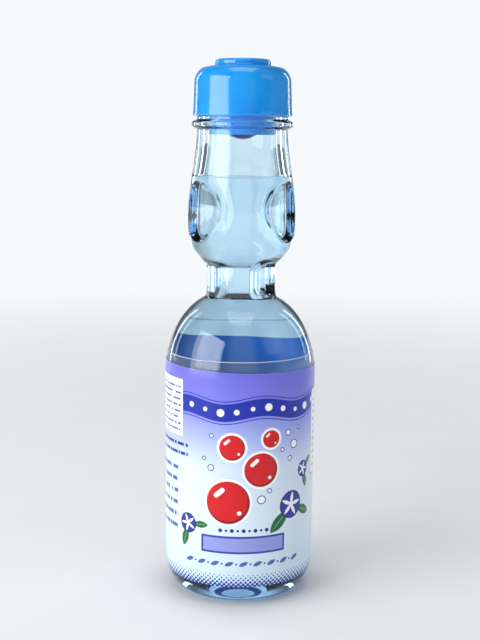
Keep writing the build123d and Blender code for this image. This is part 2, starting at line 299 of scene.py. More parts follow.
def withScoops(rows, angle, shrink=None):
    # the skin's radius over the whole grid, cut by the dimples and pinches; the inner skin's forms are softer
    r, z = rows[:, :1], rows[:, 1:]
    spread = np.broadcast_to(r, (len(rows), len(angle))).copy()
    if shrink is None:
        cuts = [(dimpleFace, 0, glass["outerEdge"]), (pinchFace, 0, glass["outerEdge"])]
    else:
        spread -= dimpleBulge(z, angle[None])
        cuts = [(pinchFace, glass["pinchWall"] - shrink, glass["innerPinchEdge"])]
    for face, grow, edge in cuts:
        near = face(z, angle[None], grow)
        cut = np.isfinite(near)
        spread[cut] = smoothMin(spread[cut], near[cut], edge)
    return spread


# Heights of the outer rows, closest together where the dimples and pinches lie
neckLow = bulbMiddle + glass["neckRise"]
waistFrom, waistTo = waistBottom - glass["fineBelow"], waistTop + glass["fineAbove"]
outerHeights = np.concatenate([
    np.linspace(shoulderStart, waistFrom, 30, endpoint=False),
    np.linspace(waistFrom, waistTo, 58, endpoint=False),
    np.linspace(waistTo, neckLow, 76, endpoint=False),
    [neckLow],
])


def bulbUpperRows(low, top, count, above):
    # the easing curve from the bulb's middle to the neck, kept above a height
    curve = easePoints(low, top, (0, 1), (0, 1), 200)
    return rowsAt(np.linspace(above, top[1], count), curve)


def outerSkin():
    # the outside from the middle of the hollow under the foot up to the bore's rim
    g = glass
    edge = g["footRadius"] - g["footLand"]
    punt = (edge**2 + g["puntHeight"] ** 2) / (2 * g["puntHeight"])
    dome = edge * np.sin(np.linspace(0, pi / 2, 9))
    upper = bulbUpperRows((g["bulbRadius"], bulbMiddle), (g["neckRadius"], beadBottom), 400, bulbMiddle)
    beadIn = g["beadRadius"] - g["beadRound"]
    ridgeFoot = collarTop + g["ridgeSeat"]
    return np.concatenate([
        np.stack([dome, g["puntHeight"] - punt + np.sqrt(punt**2 - dome**2)], 1),
        straightPoints((edge + g["landStart"], 0), (g["footRadius"], 0), 3),
        ellipsePoints((g["footRadius"], g["heelHeight"]), g["bodyRadius"] - g["footRadius"], g["heelHeight"],
                      -86, 0, 18),
        straightPoints((g["bodyRadius"], g["heelHeight"] + g["straightInset"]),
                       (g["bodyRadius"], shoulderStart - g["straightInset"]), 7),
        skinRows(outerHeights[outerHeights < bulbMiddle], 0, 0, 0),
        rowsAt(outerHeights[outerHeights >= bulbMiddle], upper),
        rowsAt(np.linspace(neckLow + 1.5, beadBottom - 0.6, 10), upper),
        roundedPoints([
            (g["neckRadius"], beadBottom - g["stepBelow"]), (g["neckRadius"], beadBottom),
            (beadIn, beadBottom), (g["beadRadius"], beadBottom + g["beadShoulder"]),
            (g["beadRadius"], beadTop - g["beadShoulder"]), (beadIn, beadTop),
            (g["collarRadius"], beadTop), (g["collarRadius"], collarTop),
            (g["finishRadius"], collarTop), (g["finishRadius"], ridgeFoot),
            (g["finishRadius"] + g["ridge"], ridgeFoot + g["ridgeHeight"] / 2),
            (g["finishRadius"], ridgeFoot + g["ridgeHeight"]), (g["finishRadius"], finishTop),
            (g["boreRadius"], finishTop), (g["boreRadius"], finishTop - 1),
        ], [0, *g["finishRounds"], g["rimRound"], g["rimRound"], 0]),
    ])


def innerSkin(shrink=0.0, top=None):
    # the cavity from its top down to the floor's middle; the drink's skin reaches a little into the glass
    g = glass
    boreFoot = beadBottom - g["beadHeight"]
    wall, neckWall = g["bodyWall"] - shrink, g["waistWall"] - shrink
    bulbWall = g["bulbWall"] - shrink
    bulbSide = (g["bulbRadius"] - bulbWall, bulbMiddle)
    upper = bulbUpperRows(bulbSide, (g["boreRadius"] + shrink, boreFoot), 400, bulbMiddle)
    high = np.concatenate([np.linspace(boreFoot, neckLow + 2, 10), np.linspace(neckLow, bulbMiddle, 24)])
    low = np.concatenate([
        np.linspace(bulbMiddle - 0.8, waistTop + 8, 18), np.linspace(waistTop + 7.4, waistBottom - 7, 46),
        np.linspace(waistBottom - 8, shoulderStart, 22),
    ])
    floor, corner, radius = g["floorHeight"] - shrink, g["floorCorner"], g["bodyRadius"] - wall
    rows = np.concatenate([
        rowsAt(high, upper),
        skinRows(low, wall, neckWall, bulbWall),
        straightPoints((radius, shoulderStart - g["straightInset"]), (radius, floor + corner + 3), 7),
        ellipsePoints((radius - corner, floor + corner), corner, corner, 0, -90, 12),
        straightPoints((radius - corner - 3, floor), (0, floor), 5),
    ])
    return rows if top is None else rows[rows[:, 1] < top]


def glassBottle(material):
    angle = np.linspace(0, 2 * pi, glass["turns"], endpoint=False)
    outer, inner = outerSkin(), innerSkin()
    spread = np.concatenate([withScoops(outer, angle), withScoops(inner, angle, 0)])
    piece = roundMesh("glassBottle", spread, angle, np.concatenate([outer, inner])[:, 1:])
    return settle(piece, "glass", "clear_glass", material, "bottle")


# Drink: it fills the bottle to the middle of the bulb's upper half
drink = {
    "level": 160.4, "intoGlass": 0.06, "meniscus": 0.9, "meniscusCurve": 9.0, "turns": 176,
    "look": {
        "index": 1.333, "tints": (srgb(250, 254, 255), srgb(244, 252, 255)), "wave": (60.0, 1.0),
        "depthTint": srgb(160, 222, 250), "depth": 8.0, "shadow": srgb(250, 254, 255),
    },
}


def drinkFilling(material):
    # the cavity up to the level, closed by a surface that rises at its rim: level - m (1 - e^(k (share - 1)))
    angle = np.linspace(0, 2 * pi, drink["turns"], endpoint=False)
    rows = innerSkin(drink["intoGlass"], drink["level"])[::-1]
    edge = withScoops(rows, angle, drink["intoGlass"])
    share = 1 - np.linspace(0, 1, 14)[1:] ** 1.6
    cup = drink["level"] - drink["meniscus"] * (1 - np.exp(-(1 - share) * drink["meniscusCurve"]))
    spread = np.concatenate([edge, share[:, None] * edge[-1:]])
    piece = roundMesh("drinkFilling", spread, angle, np.concatenate([rows[:, 1], cup])[:, None])
    return settle(piece, "glass", "clear_glass", material)


# Stopper: the marble, its seal and the mouthpiece
stopper = {
    "marbleRadius": 8.5, "gasketBore": 6.5, "gasketBand": 4.0, "gasketThick": 2.6, "gasketBevel": 0.5,
    "fit": 0.05, "snapFit": 0.1, "skirtWall": 0.8, "hook": 0.7, "hookHeight": 1.3, "flangeThick": 1.8,
    "sleeveDepth": 14.0, "sleeveFit": 0.35, "marblePlay": 0.5, "leadIn": 1.0,
    "ribs": 6, "ribWidth": 1.2, "ribProud": 0.2,
    "lipRadius": 10.4, "lipBore": 7.2, "lipHeight": 3.6, "lipRound": 1.2,
    "mouthRounds": [0.5, 0.6, 0.2, 0.2, 0.15, 0.2, 0.15, 0.15, 0.3, 0.2, 0.3, 0.15, 0.15, 0.15, 0.2],
    "marbleLook": {
        "index": 1.52, "tints": (srgb(214, 244, 250), srgb(176, 226, 240)), "wave": (120.0, 2.0),
        "hazeNoise": (1500.0, 3.0), "hazeRange": (0.4, 0.8), "haze": 0.04,
        "depthTint": srgb(120, 210, 232), "depth": 40.0, "shadow": srgb(214, 240, 246),
    },
    "rubberTints": (srgb(208, 208, 204), srgb(184, 184, 180)),
    "plasticLook": {"tints": (srgb(0, 150, 234), srgb(0, 136, 226)), "roughness": 0.25, "coat": 0.3},
}
flangeBottom = finishTop + stopper["snapFit"]
flangeTop = flangeBottom + stopper["flangeThick"]
gasketBottom = flangeBottom - stopper["gasketThick"]
sleeveRadius = glass["boreRadius"] - stopper["sleeveFit"]
sleeveBore = stopper["marbleRadius"] + stopper["marblePlay"] + stopper["ribProud"]


def glassMarble(material):
    # a ball round the solid's own middle: (r, z) = (R cos t, middle + R sin t)
    low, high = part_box("marble")
    centre, radius = (low.z + high.z) / 2 / mm, stopper["marbleRadius"]
    tilt = np.linspace(-pi / 2, pi / 2, 65)
    rows = np.stack([radius * np.cos(tilt), centre + radius * np.sin(tilt)], 1)
    piece = lathe("glassMarble", rows, 128, loop=False)
    return settle(piece, "ball", "marble_glass", material, "marble")


def sealRing(material):
    s = stopper
    outer, bore = s["gasketBore"] + s["gasketBand"] - s["fit"], s["gasketBore"]
    top = flangeBottom - s["fit"]
    rows = roundedPoints([
        (bore, top - 1), (bore, gasketBottom + s["gasketBevel"]), (bore + s["gasketBevel"], gasketBottom),
        (outer, gasketBottom), (outer, top), (bore, top), (bore, top - 1),
    ], [0, 0.2, 0.2, 0.25, 0.25, 0.25, 0], 4)
    return settle(lathe("sealRing", rows[:-1], 144), "glass", "seal_rubber", material, "gasket")


def finRing(count, outline, width):
    # flat fins that stand in a ring: one outline of (r, z), given a width and turned round the axis
    turn = np.arange(count)[:, None] * 2 * pi / count
    corners = np.array(outline, float)
    number = len(corners)
    radius, z = np.tile(corners[:, 0], 2), np.tile(corners[:, 1], 2)
    side = np.repeat([-width / 2, width / 2], number)
    x = radius * np.cos(turn) - side * np.sin(turn)
    y = radius * np.sin(turn) + side * np.cos(turn)
    points = np.stack([x, y, np.broadcast_to(z, x.shape)], 2).reshape(-1, 3)
    rim = [(i, (i + 1) % number, number + (i + 1) % number, number + i) for i in range(number)]
    faces = rim + [tuple(range(number - 1, -1, -1)), tuple(range(number, 2 * number))]
    return points, [tuple(i + 2 * number * k for i in face) for k in range(count) for face in faces]


def boxOutline(inner, outer, low, high):
    return [(inner, low), (outer, low), (outer, high), (inner, high)]


def mouthMoulding(material):
    # lip, flange, hooked skirt round the finish and sleeve in the bore, which holds the seal
    s = stopper
    skirtBore = glass["finishRadius"] + glass["ridge"] + s["snapFit"]
    skirt = skirtBore + s["skirtWall"]
    hookFoot = collarTop + s["snapFit"]
    sleeveFoot = finishTop - s["sleeveDepth"]
    groove = s["gasketBore"] + s["gasketBand"]
    lipTop, hookTop = flangeTop + s["lipHeight"], hookFoot + s["hookHeight"]
    points = [
        (s["lipBore"], flangeTop), (s["lipBore"], lipTop), (s["lipRadius"], lipTop),
        (s["lipRadius"], flangeTop), (skirt, flangeTop), (skirt, hookFoot), (skirtBore - s["hook"], hookFoot),
        (skirtBore - s["hook"], hookTop), (skirtBore, hookTop + s["hook"]),
        (skirtBore, flangeBottom), (sleeveRadius, flangeBottom), (sleeveRadius, sleeveFoot),
        (sleeveBore + s["leadIn"], sleeveFoot), (sleeveBore, sleeveFoot + s["leadIn"]),
        (sleeveBore, gasketBottom - s["fit"]), (groove, gasketBottom - s["fit"]), (groove, flangeBottom),
        (s["lipBore"], flangeBottom), (s["lipBore"], flangeTop),
    ]
    rounds = [0, s["lipRound"], s["lipRound"], *s["mouthRounds"], 0]
    piece = lathe("mouthMoulding", roundedPoints(points, rounds, 4)[:-1], 160)
    rib = boxOutline(sleeveBore - s["ribProud"], sleeveBore + s["ribProud"],
                     sleeveFoot + s["leadIn"], gasketBottom - s["fit"])
    addForms(piece, *finRing(s["ribs"], rib, s["ribWidth"]))
    return settle(piece, "glass", "mouthpiece_plastic", material, "mouthpiece")


# Over-cap and its plunger
cap = {
    "wall": 1.3, "fit": 0.25, "draft": 0.4, "footHeight": 1.5, "footProud": 0.15, "topThick": 1.9,
    "topFall": 1.0, "headRoom": 10.0, "shoulderDrop": 5.3, "shoulderInset": 3.9,
    "blendRun": 1.5, "blendFall": 0.55, "collarWall": 1.1, "collarFit": 0.4,
    "ribs": 12, "ribWidth": 0.9, "nibs": 4, "nibWidth": 1.2, "nibHeight": 0.6, "seat": 0.05,
    "discRadius": 10.4, "discThick": 1.9, "discRound": 1.1, "spigotRadius": 8.2, "spigotFit": 0.4,
    "stemFit": 0.8, "stemRib": 1.5, "stemCore": 2.4, "tipChamfer": 0.6,
    "tuck": 0.1,             # a small step inwards, and how far fins reach into the wall that carries them
    "look": {"tints": (srgb(0, 156, 236), srgb(0, 138, 228)), "roughness": 0.2, "coat": 0.7},
}
mouthRadius = glass["finishRadius"] + glass["ridge"] + stopper["snapFit"] + stopper["skirtWall"]
capBore = mouthRadius + cap["fit"] + cap["draft"]
capRadius = capBore + cap["wall"]
capBottom = collarTop + cap["seat"]
capTop = flangeTop + cap["headRoom"]
roof = capTop - cap["topThick"]


def overCap(material):
    # dished top with the plunger's hole, rounded shoulder, drafted side, foot bead and inner collar
    c = cap
    shoulderFoot = capTop - c["topFall"] - c["shoulderDrop"]
    head = (capRadius - c["draft"] - c["shoulderInset"], capTop - c["topFall"])
    side = (capRadius - c["draft"], shoulderFoot)
    hole, dish = c["spigotRadius"] + c["spigotFit"], c["discRadius"] - c["tuck"]
    collarBore = stopper["lipRadius"] + c["collarFit"]
    collarOuter, collarFoot = collarBore + c["collarWall"], flangeTop + c["seat"]
    eave = (capBore - c["draft"], shoulderFoot - c["wall"])
    roofEdge = (head[0] - c["wall"], roof - c["topFall"])
    blend = (c["discRadius"] + c["blendRun"], capTop - c["blendFall"])
    topWay = np.array(head) - blend
    rows = np.concatenate([
        roundedPoints([(hole, roof + 0.5), (hole, capTop), (dish, capTop)], [0, 0.3, 0], 3),
        ellipsePoints((blend[0], capTop), c["blendRun"], c["blendFall"], 180, 270, 10),
        easePoints(head, side, topWay, (0, -1), 18),
        roundedPoints([
            (side[0] + 0.02, side[1] - 1), (capRadius, capBottom + c["footHeight"]),
            (capRadius + c["footProud"], capBottom + 0.7), (capRadius + c["footProud"], capBottom),
            (capBore, capBottom), (capBore - c["tuck"], capBottom + 2),
        ], [0, 0.5, 0.5, 0.3, 0.3, 0], 4),
        easePoints(eave, roofEdge, (0, 1), (-1, 0), 10),
        roundedPoints([
            (collarOuter + 0.8, roof - 0.3), (collarOuter, roof - 0.3), (collarOuter, collarFoot),
            (collarBore, collarFoot), (collarBore, roof), (hole, roof), (hole, roof + 0.4),
        ], [0, 0.3, 0.2, 0.2, 0.4, 0.2, 0], 3),
    ])
    piece = lathe("overCap", rows, 208)
    ribOut = (eave[0] + 0.2, eave[1])
    ribIn = collarOuter - c["tuck"]
    rib = [(ribIn, eave[1]), ribOut, (ribOut[0], ribOut[1] + 0.6), (roofEdge[0] + 0.4, roofEdge[1] + 0.4),
           (ribIn, roofEdge[1] + 0.4)]
    addForms(piece, *finRing(c["ribs"], rib, c["ribWidth"]))
    nib = boxOutline(hole - c["spigotFit"] + c["seat"], hole + c["tuck"], roof, roof + c["nibHeight"])
    addForms(piece, *finRing(c["nibs"], nib, c["nibWidth"]))
    return settle(piece, "over_cap", "cap_plastic", material, "opener_ring")


def pushPlunger(material):
    # disc, spigot and the cross-shaped stem that pushes the marble down
    c = cap
    low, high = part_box("plunger")
    tip, top = low.z / mm, high.z / mm
    under = top - c["discThick"]
    spigotFoot = roof - c["seat"]
    piece = lathe("pushPlunger", roundedPoints([
        (0, spigotFoot), (c["spigotRadius"], spigotFoot), (c["spigotRadius"], under),
        (c["discRadius"], under), (c["discRadius"], top), (0, top),
    ], [0, 0.3, 0.2, 0.06, c["discRound"], 0], 8), 208, loop=False)
    addForms(piece, *stemCross(tip, spigotFoot))
    return settle(piece, "push_plunger", "cap_plastic", material, "plunger")


def stemCross(tip, head):
    # the stem is a cross of two bars on a round core: its radius at an angle t is
    # max(core, min(reach, half / min(|sin t|, |cos t|))), carried down to the chamfered tip
    reach, half = stopper["gasketBore"] - cap["stemFit"], cap["stemRib"] / 2
    angle = np.linspace(0, 2 * pi, 96, endpoint=False)
    slant = np.maximum(np.minimum(np.abs(np.sin(angle)), np.abs(np.cos(angle))), 1e-6)
    section = np.maximum(np.minimum(half / slant, reach), cap["stemCore"])
    share = np.array([0, 1, 1, (reach - cap["tipChamfer"]) / reach, 0])
    z = np.array([head, head, tip + cap["tipChamfer"], tip, tip])
    x, y = share[:, None] * section * np.cos(angle), share[:, None] * section * np.sin(angle)
    points = np.stack([x, y, np.broadcast_to(z[:, None], x.shape)], 2).reshape(-1, 3)
    return points, gridQuads(*x.shape).tolist()


# Label: a printed film sleeve, clear above the print
label = {
    "fit": 0.04, "thick": 0.13, "foot": 7.9, "topRise": 8.5, "straightInset": 4.0, "printTop": 89.8,
    "turn": 1.2, "turns": 256,
    "bandDots": 100, "bandTop": 12.9, "bandFull": -0.45, "bandThin": 0.75,
    "ribbon": 76.1, "ribbonHalf": 3.3, "edging": 0.9, "waveHigh": 1.1, "waves": 6, "topTilt": 0.026,
    "edgeLine": 0.3, "overlap": -87.6, "fadeFoot": 8.0,
    "fade": [(0.0, srgb(206, 230, 246)), (0.3, srgb(222, 238, 248)), (0.56, srgb(214, 228, 248)),
             (0.7, srgb(168, 182, 238)), (0.84, srgb(122, 124, 226)), (1.0, srgb(110, 106, 220))],
    "look": {
        "clear": 0.025, "edge": 0.5, "roughness": (0.22, 0.27), "specular": 0.35, "coat": 0.25, "bump": 0.05,
    },
}


def labelSleeve(material):
    # a thin sleeve that follows the heel, the straight side and the shoulder's foot
    g, f = glass, label
    high, foot = g["heelHeight"], g["footRadius"]
    low, top = high + f["straightInset"], shoulderStart - f["straightInset"]
    heel = np.degrees(np.arcsin((high - f["foot"]) / high))
    rise = np.degrees(np.arcsin(f["topRise"] / g["shoulderRise"]))

    def side(radius):
        wide = radius - shoulderCentre
        return np.concatenate([
            ellipsePoints((foot, high), radius - foot, high, -heel, 0, 8),
            straightPoints((radius, low), (radius, top), 12),
            ellipsePoints((shoulderCentre, shoulderStart), wide, g["shoulderRise"], 0, rise, 8),
        ])

    outer, inner = side(g["bodyRadius"] + f["fit"] + f["thick"]), side(g["bodyRadius"] + f["fit"])
    piece = lathe("labelSleeve", np.concatenate([outer, inner[::-1]]), f["turns"])
    return settle(piece, "glass", "label_film", material, "label")


# Materials: their colours and strengths stand in the pieces' dictionaries

def startMaterial(name):
    material = bpy.data.materials.new(name)
    material.use_nodes = True
    tree = material.node_tree
    tree.nodes.clear()
    out = tree.nodes.new("ShaderNodeOutputMaterial")
    shader = tree.nodes.new("ShaderNodeBsdfPrincipled")
    tree.links.new(shader.outputs[0], out.inputs["Surface"])
    return material, tree, shader, out


def setSockets(node, values):
    # a constant goes on the node's own socket, and another node's output is linked to it
    for key, value in values.items():
        if isinstance(value, bpy.types.NodeSocket):
            node.id_data.links.new(value, node.inputs[key])
        else:
            node.inputs[key].default_value = value


def addNode(tree, kind, values=None, **settings):
    node = tree.nodes.new("ShaderNode" + kind)
    for key, value in settings.items():
        setattr(node, key, value)
    setSockets(node, values or {})
    return node


def calc(operation, *values):
    # the node goes in the tree of the first output that it is given
    tree = next(v.id_data for v in values if isinstance(v, bpy.types.NodeSocket))
    return addNode(tree, "Math", dict(enumerate(values)), operation=operation).outputs[0]


def plus(a, b):
    return calc("ADD", a, b)


def minus(a, b):
    return calc("SUBTRACT", a, b)


def times(a, b):
    return calc("MULTIPLY", a, b)


def blendColour(share, first, second):
    # sockets 6 and 7 are the two colours, and output 2 is the mixed one
    return addNode(share.id_data, "Mix", {0: share, 6: first, 7: second}, data_type="RGBA").outputs[2]


def objectPoint(tree):
    return addNode(tree, "TexCoord").outputs["Object"]


def noiseValue(point, scale, detail=3.0, rough=0.5):
    values = {"Vector": point, "Scale": scale, "Detail": detail, "Roughness": rough}
    return addNode(point.id_data, "TexNoise", values).outputs[0]


def bumpFrom(height, strength, distance):
    values = {"Height": height, "Strength": strength, "Distance": distance}
    return addNode(height.id_data, "Bump", values).outputs[0]


def rangeOf(value, low, high, outLow=0.0, outHigh=1.0):
    values = {0: value, 1: low, 2: high, 3: outLow, 4: outHigh}
    return addNode(value.id_data, "MapRange", values).outputs[0]


def clearFinish(name, look):
    # a clear piece: its skin waves slowly between two tints, with haze and bumps where it has any, and the
    # longer the light's way through it, the deeper its tint
    material, tree, shader, out = startMaterial(name)
    point = objectPoint(tree)
    wave = noiseValue(point, *look["wave"])
    setSockets(shader, {
        "Transmission Weight": 1.0, "IOR": look["index"], "Roughness": 0.0,
        "Base Color": blendColour(wave, *look["tints"]),
    })
    if "haze" in look:
        fine = noiseValue(point, *look["hazeNoise"])
        setSockets(shader, {"Roughness": rangeOf(fine, *look["hazeRange"], 0.0, look["haze"])})
    if "bump" in look:
        setSockets(shader, {"Normal": bumpFrom(wave, look["bump"], 0.0006)})
    absorb = addNode(tree, "VolumeAbsorption", {"Color": look["depthTint"], "Density": look["depth"]})
    setSockets(out, {"Volume": absorb.outputs[0]})
    # shadow and diffuse rays go straight through it, so that it throws no black shadow
    path = addNode(tree, "LightPath").outputs
    soft = calc("MAXIMUM", path["Is Shadow Ray"], path["Is Diffuse Ray"])
    clear = addNode(tree, "BsdfTransparent", {"Color": look["shadow"]}).outputs[0]
    mixed = addNode(tree, "MixShader", {0: soft, 1: shader.outputs[0], 2: clear}).outputs[0]
    setSockets(out, {"Surface": mixed})
    return material


def plasticFinish(name, look):
    # moulded plastic: faint flow mottling, fine orange peel and a clear gloss over it
    material, tree, shader, out = startMaterial(name)
    point = objectPoint(tree)
    flow = noiseValue(point, 70.0, 3.0, 0.55)
    peel = noiseValue(point, 1400.0, 2.0)
    setSockets(shader, {
        "Base Color": blendColour(rangeOf(flow, 0.3, 0.7), *look["tints"]),
        "Roughness": rangeOf(peel, 0.3, 0.7, look["roughness"], look["roughness"] + 0.05),
        "Coat Weight": look["coat"], "Coat Roughness": 0.04, "IOR": 1.5,
        "Normal": bumpFrom(peel, 0.05, 0.0001),
    })
    return material


def rubberFinish():
    material, tree, shader, out = startMaterial("sealRubber")
    grain = noiseValue(objectPoint(tree), 2200.0, 3.0)
    setSockets(shader, {
        "Base Color": blendColour(grain, *stopper["rubberTints"]),
        "Roughness": rangeOf(grain, 0.3, 0.7, 0.55, 0.72),
        "Normal": bumpFrom(grain, 0.2, 0.0001),
    })
    return material


# Print on the label. Its marks are plates in mm: centre u (round the label), centre v (up), half length,
# half width, corner radius (none for a leaf form with pointed ends), turn in degrees, colour
inks = {
    "band": srgb(0, 34, 168), "red": srgb(214, 0, 6), "deepRed": srgb(140, 0, 8),
    "white": srgb(250, 252, 255), "sign": srgb(10, 36, 146), "frame": srgb(36, 62, 170),
    "lilac": srgb(146, 156, 226),
    "petal": srgb(28, 52, 158), "petalDark": srgb(10, 22, 92), "leaf": srgb(16, 104, 52),
    "leafLight": srgb(96, 170, 96), "rule": srgb(70, 98, 170), "check": srgb(14, 44, 150),
    # the backing ink is a darker, saturated blue: painted shade and painted blue reflection for the film's
    # white inner face
    "paintedShadeBacking": srgb(96, 168, 255), "film": srgb(232, 242, 250), "mottle": srgb(120, 150, 220),
}
motifs = {
    # centre u, centre v, radius
    "marbles": [(-6.0, 41.0, 8.2), (6.4, 53.4, 6.4), (-4.6, 62.0, 4.8), (10.2, 65.0, 3.3),
                (74.0, 40.0, 7.2), (81.6, 55.0, 4.6), (-77.0, 51.0, 5.6)],
    "marbleEdge": 0.9,
    "bubbles": [(6.6, 42.0, 1.7), (9.8, 45.2, 1.0), (-12.6, 54.0, 1.3), (-15.4, 57.4, 0.8),
                (-12.4, 66.2, 0.9), (15.0, 60.4, 0.9), (17.6, 66.6, 1.3), (20.6, 61.8, 1.8),
                (18.6, 56.6, 1.1), (23.0, 67.8, 0.8), (67.6, 53.6, 1.6), (72.4, 60.2, 1.0),
                (84.8, 44.6, 1.3), (-83.6, 40.6, 1.5), (-68.4, 58.4, 1.2), (-83.0, 61.0, 0.9)],
    "bubbleLine": 0.35,
    # centre u, centre v, radius, turn
    "flowers": [(19.6, 38.4, 5.4, 10), (-22.6, 31.0, 3.9, 40), (26.4, 51.0, 3.2, 70), (-74.0, 31.0, 4.8, 25)],
    "plates": [(0, 24.6, 16.4, 3.4, 0.3, 0, "frame"), (0, 24.6, 15.6, 2.6, 0.2, 0, "lilac"),
               (-38.6, 74.8, 12.9, 10.9, 0.4, 0, "white"),
               (45.0, 63.5, 11.8, 17.1, 1.8, 0, "sign"), (45.0, 63.5, 11.4, 16.7, 1.5, 0, "white")],
    "ribbonDots": (-87, 92, 6), "ribbonSizes": (0.85, 1.45, 1.05),
    "ovalRow": 17.2, "ovalPitch": 5.4, "oval": (1.9, 0.8), "ovalTurn": 24, "ovalDot": 0.42,
    "dotRow": 30.2, "dotPitch": 2.2, "dotSizes": (0.75, 0.5), "rowHalf": 4,
}
# the parts of a printed marble, in shares of its radius: beside, above, half length, half width, turn, colour
marbleShares = [
    (0, 0, 1, 1, 0, "deepRed"), (-0.045, 0.05, 0.93, 0.93, 0, "red"),
    (-0.4, 0.45, 0.3, 0.11, 42, "white"), (0.52, -0.48, 0.1, 0.1, 0, "white"),
]
flowerShares = {
    "leafAway": 1.5, "leafWide": 0.42, "leafSpread": 54, "vein": 0.86, "veinWide": 0.05, "petal": 0.92,
    "rayAway": 0.44, "rayLong": 0.46, "rayWide": 0.13, "heart": 0.2,
}


def disc(u, v, radius, ink):
    return (u, v, radius, radius, radius, 0, ink)


def ribbonDots():
    # dots of three sizes that follow the ribbon's wave
    marks = []
    for i, u in enumerate(range(*motifs["ribbonDots"])):
        rise = label["waveHigh"] * sin(label["waves"] * u / glass["bodyRadius"])
        marks.append(disc(u, label["ribbon"] + rise, motifs["ribbonSizes"][i % 3], "white"))
    return marks


def printedMarble(u, v, r):
    marks = [disc(u, v, r + motifs["marbleEdge"], "white")]
    for du, dv, long, wide, turn, ink in marbleShares:
        marks.append((u + du * r, v + dv * r, long * r, wide * r, wide * r, turn, ink))
    return marks


def printedFlower(u, v, r, turn):
    # two leaves, a round bloom over them and its five white rays
    s, marks = flowerShares, []
    for side, size in ((-1, 1.0), (1, 0.8)):
        way = turn - 90 + s["leafSpread"] * side
        leafU, leafV = u + s["leafAway"] * r * cos(radians(way)), v + s["leafAway"] * r * sin(radians(way))
        marks += [
            (leafU, leafV, size * r, s["leafWide"] * size * r, None, way, "leaf"),
            (leafU, leafV, s["vein"] * size * r, s["veinWide"] * r, None, way, "leafLight"),
        ]
    marks += [disc(u, v, r, "petalDark"), disc(u, v, s["petal"] * r, "petal")]
    for ray in range(5):
        way = turn + 72 * ray
        rayU, rayV = u + s["rayAway"] * r * cos(radians(way)), v + s["rayAway"] * r * sin(radians(way))
        marks.append((rayU, rayV, s["rayLong"] * r, s["rayWide"] * r, None, way, "white"))
    return marks + [disc(u, v, s["heart"] * r, "white")]


def boxRows():
    # a row of pointed ovals with dots between them below the framed box, and a row of dots above it
    m, marks = motifs, []
    for i in range(-m["rowHalf"], m["rowHalf"] + 1):
        marks.append((m["ovalPitch"] * i, m["ovalRow"], *m["oval"], None, m["ovalTurn"], "rule"))
        if i < m["rowHalf"]:
            marks.append(disc(m["ovalPitch"] * i + m["ovalPitch"] / 2, m["ovalRow"], m["ovalDot"], "rule"))
    for i in range(-m["rowHalf"], m["rowHalf"] + 1):
        marks.append(disc(m["dotPitch"] * i, m["dotRow"], m["dotSizes"][i % 2], "sign"))
    return marks


def allMarks():
    # every mark of the print, from the lowest layer to the highest
    marks = ribbonDots()
    for place in motifs["marbles"]:
        marks += printedMarble(*place)
    for u, v, r in motifs["bubbles"]:
        marks += [disc(u, v, r, "sign"), disc(u, v, r - motifs["bubbleLine"], "white")]
    for place in motifs["flowers"]:
        marks += printedFlower(*place)
    return marks + motifs["plates"] + boxRows()


printMarks = allMarks()

# Blocks of fine rules, broken into dashes: left, right, bottom, top, pitch of the lines in mm, colour
ruleBlocks = [
    (-50.4, -26.8, 65.0, 84.0, 2.35, "rule"), (-50.0, -22.8, 55.6, 62.6, 3.5, "sign"),
    (-50.0, -28.4, 26.0, 52.0, 4.6, "rule"), (35.4, 54.6, 48.6, 78.4, 2.6, "rule"),
]
dashes = {"rowStep": 7.3, "wordScale": 0.9, "gapBelow": 0.42, "gapSoft": 0.03, "thin": 0.14, "thick": 0.2}


def printMarkGroup(name, pointed):
    # distance to the edge of a turned plate or leaf form, softened over a hair's breadth, as a mask of 0 to 1
    group = bpy.data.node_groups.new(name, "ShaderNodeTree")
    for entry in ("u", "v", "centreU", "centreV", "halfU", "halfV", "round", "cosine", "sine"):
        group.interface.new_socket(entry, in_out="INPUT", socket_type="NodeSocketFloat")
    group.interface.new_socket("mask", in_out="OUTPUT", socket_type="NodeSocketFloat")
    given = group.nodes.new("NodeGroupInput").outputs
    corner = given["round"]

    def length(a, b):
        return calc("SQRT", plus(times(a, a), times(b, b)))

    du, dv = minus(given["u"], given["centreU"]), minus(given["v"], given["centreV"])
    along = plus(times(du, given["cosine"]), times(dv, given["sine"]))
    across = minus(times(dv, given["cosine"]), times(du, given["sine"]))
    if pointed:
        # the leaf form is where two discs of the corner radius overlap
        beside = plus(calc("ABSOLUTE", across), minus(corner, given["halfV"]))
        distance = minus(length(along, beside), corner)
    else:
        beyond = []
        for value, half in ((along, "halfU"), (across, "halfV")):
            inside = minus(given[half], corner)
            beyond.append(minus(calc("ABSOLUTE", value), inside))
        far = length(*(calc("MAXIMUM", b, 0.0) for b in beyond))
        near = calc("MINIMUM", calc("MAXIMUM", *beyond), 0.0)
        distance = minus(plus(far, near), corner)
    out = group.nodes.new("NodeGroupOutput")
    group.links.new(rangeOf(distance, -0.05, 0.05, 1.0, 0.0), out.inputs["mask"])
    return group


